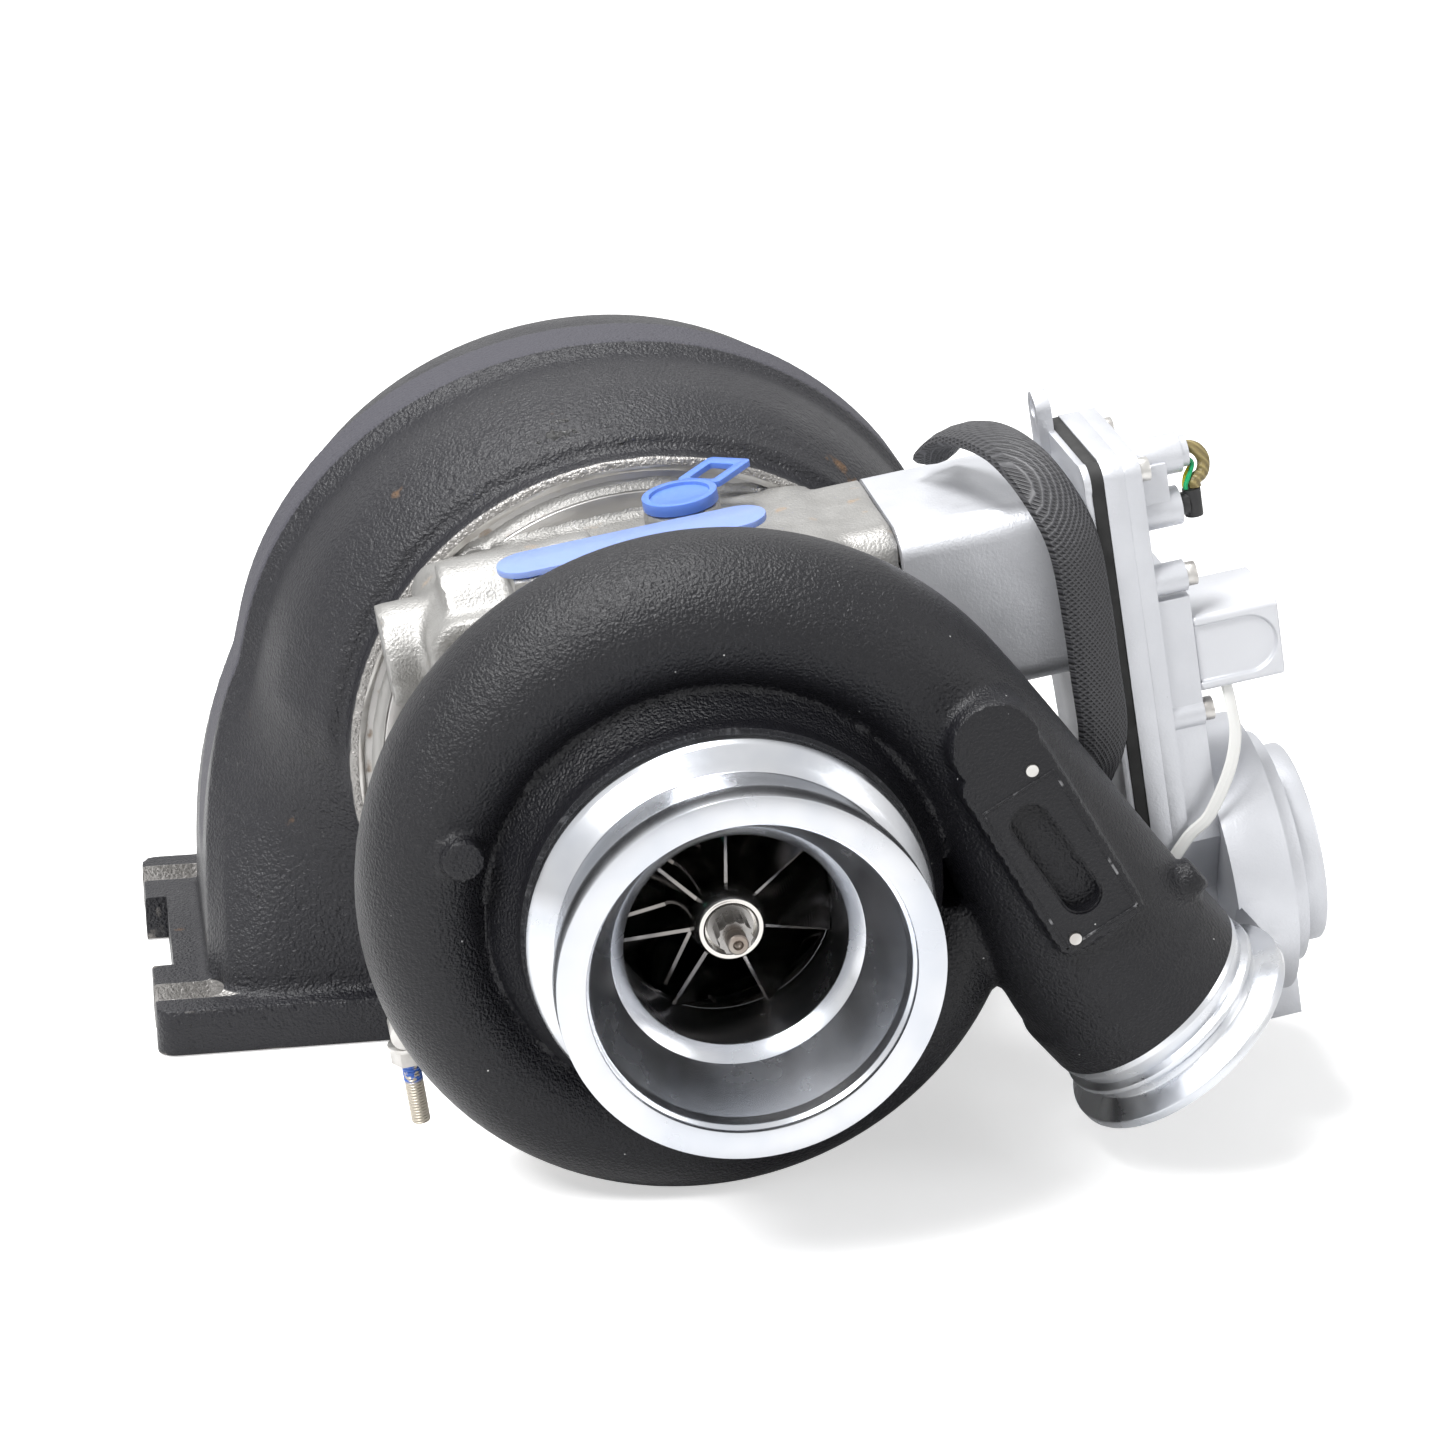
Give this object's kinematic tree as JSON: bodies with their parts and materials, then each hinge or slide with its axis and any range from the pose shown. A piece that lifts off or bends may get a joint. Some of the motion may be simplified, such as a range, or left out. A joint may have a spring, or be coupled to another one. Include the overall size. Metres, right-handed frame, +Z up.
{
  "type": "turbocharger",
  "caption": "Variable nozzle turbocharger with black compressor cover, exhaust turbine housing on a slotted foot, and an electric nozzle actuator on its side.",
  "frame": {"origin": "centre of the compressor inlet's rim plane, on the rotor's axis", "axes": "+Y back along the rotor from the inlet to the exhaust outlet, +Z up, +X right seen from the inlet"},
  "size_m": [0.3789, 0.352, 0.2314],
  "materials": {
    "black_coated_aluminium": "fine black coating over cast aluminium, satin",
    "turned_aluminium": "lathe-turned, bright",
    "raw_cast_iron": "as cast with machined faces, light rust",
    "black_cast_iron": "black paint over coarse cast iron, chipped",
    "stainless_steel": "bright, machined",
    "dark_steel": "oiled, dark",
    "satin_die_cast": "satin die casting",
    "blade_alloy": "milled, dark reflections",
    "turbine_alloy": "cast nickel alloy",
    "bronze": "machined bronze",
    "black_rubber": "matte",
    "black_plastic": "moulded",
    "grey_plastic": "moulded, pale",
    "woven_sleeve": "woven polyester sleeve",
    "olive_conduit": "corrugated",
    "green_insulation": "wire insulation",
    "yellow_insulation": "wire insulation",
    "white_nylon": "nylon strap",
    "blue_cap_plastic": "translucent blue",
    "pale_blue_cap_plastic": "translucent pale blue"
  },
  "bodies": {
    "housings": {"compressor_cover": "black_coated_aluminium", "inlet_shroud_insert": "turned_aluminium", "compressor_backplate": "turned_aluminium", "cover_o_ring": "black_rubber", "cover_clamp_band": "stainless_steel", "cover_clamp_t_bolt": "stainless_steel", "cover_clamp_nut": "stainless_steel", "data_plate_pins": "stainless_steel", "bearing_housing": "raw_cast_iron", "oil_seal_plate": "dark_steel", "thrust_bearing": "bronze", "bearing_snap_rings": "dark_steel", "piston_rings": "dark_steel", "heat_shield": "stainless_steel", "turbine_housing": "black_cast_iron", "turbine_retaining_ring": "stainless_steel", "nozzle_shroud_plate": "stainless_steel", "cross_shaft_bushes": "bronze", "actuator_housing": "satin_die_cast", "actuator_gasket": "black_rubber", "gear_case": "satin_die_cast", "gear_cover": "satin_die_cast", "motor_housing": "satin_die_cast", "motor_end_cap": "satin_die_cast", "connector_box": "grey_plastic", "wire_gland": "satin_die_cast", "wire_conduit": "olive_conduit", "green_wire": "green_insulation", "yellow_wire": "yellow_insulation", "sensor_cable_cap": "black_plastic", "gear_cover_screws": "stainless_steel", "motor_screws": "stainless_steel", "actuator_bolts": "dark_steel", "braided_sleeve": "woven_sleeve", "cable_tie": "white_nylon", "intermediate_gear_pin": "dark_steel"},
    "rotor": {"turbine_wheel_and_shaft": "turbine_alloy", "compressor_wheel": "blade_alloy", "compressor_nut": "stainless_steel", "thrust_collar": "dark_steel", "oil_slinger": "dark_steel"},
    "front_journal": {"front_journal_bearing": "bronze"},
    "rear_journal": {"rear_journal_bearing": "bronze"},
    "nozzle": {"nozzle_ring": "stainless_steel", "push_rods": "dark_steel"},
    "yoke_shaft": {"yoke": "dark_steel", "sector_gear": "dark_steel"},
    "intermediate_gear": {"intermediate_gear": "dark_steel"},
    "motor_pinion": {"motor_pinion": "dark_steel"},
    "round_plug": {"round_port_plug": "blue_cap_plastic"},
    "long_plug": {"long_port_plug": "pale_blue_cap_plastic"}
  },
  "joints": [
    {"name": "rotor_spin", "type": "hinge", "parent": "housings", "child": "rotor", "pos_m": [0, 0.15, 0], "axis": [0, 1, 0], "continuous": true},
    {"name": "front_journal_spin", "type": "hinge", "parent": "housings", "child": "front_journal", "pos_m": [0, 0.128, 0], "axis": [0, 1, 0], "continuous": true},
    {"name": "rear_journal_spin", "type": "hinge", "parent": "housings", "child": "rear_journal", "pos_m": [0, 0.182, 0], "axis": [0, 1, 0], "continuous": true},
    {"name": "nozzle_slide", "type": "slide", "parent": "housings", "child": "nozzle", "axis": [0, 1, 0], "range_m": [0, 0.012]},
    {"name": "yoke_turn", "type": "hinge", "parent": "housings", "child": "yoke_shaft", "pos_m": [-0.0104, 0.155, 0.06214], "axis": [0.9863, 0, 0.165], "range_deg": [0, 19.75]},
    {"name": "intermediate_gear_turn", "type": "hinge", "parent": "housings", "child": "intermediate_gear", "pos_m": [0.15375, 0.14401, 0.00824], "axis": [0.9863, 0, 0.165], "range_deg": [-81.85, 0]},
    {"name": "motor_pinion_turn", "type": "hinge", "parent": "housings", "child": "motor_pinion", "pos_m": [0.17787, 0.1379, -0.03293], "axis": [0.9863, 0, 0.165], "range_deg": [0, 339]},
    {"name": "round_plug_lift", "type": "slide", "parent": "housings", "child": "round_plug", "axis": [-0.165, 0, 0.9863], "range_m": [0, 0.014]},
    {"name": "long_plug_lift", "type": "slide", "parent": "housings", "child": "long_plug", "axis": [-0.165, 0, 0.9863], "range_m": [0, 0.014]}
  ],
  "couplings": [
    {"joint": "yoke_turn", "follows": "nozzle_slide", "rad_per_m": 28.713},
    {"joint": "intermediate_gear_turn", "follows": "nozzle_slide", "rad_per_m": -118.95},
    {"joint": "motor_pinion_turn", "follows": "nozzle_slide", "rad_per_m": 492.81}
  ]
}
